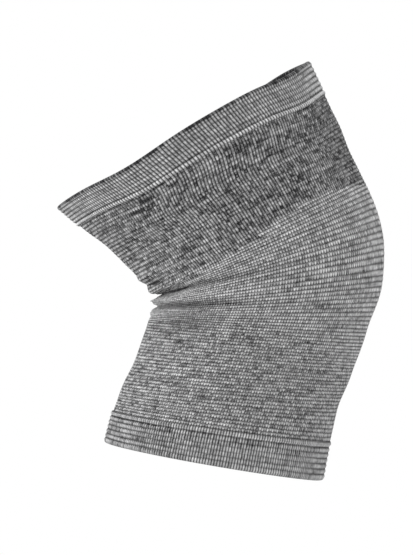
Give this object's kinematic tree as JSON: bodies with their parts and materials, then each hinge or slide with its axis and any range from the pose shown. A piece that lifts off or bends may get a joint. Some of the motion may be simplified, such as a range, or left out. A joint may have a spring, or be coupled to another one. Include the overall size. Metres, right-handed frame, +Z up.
{
  "type": "knee sleeve",
  "caption": "Knitted tube for the knee, kept bent as worn, with a double-knit band at each hem and folds behind the knee.",
  "frame": {"origin": "middle of the knee inside the sleeve, where the knee joint of the wearer sits", "axes": "+X to the kneecap, +Y across the knee, +Z up towards the thigh hem"},
  "size_m": [0.1777, 0.15, 0.227],
  "materials": {
    "body_knit": "matte knitted melange, dark and light grey yarn",
    "welt_knit": "matte ribbed double knit, dark and light grey yarn"
  },
  "bodies": {
    "root": {"thigh_welt": "welt_knit", "sleeve_body": "body_knit", "calf_welt": "welt_knit"}
  },
  "joints": []
}
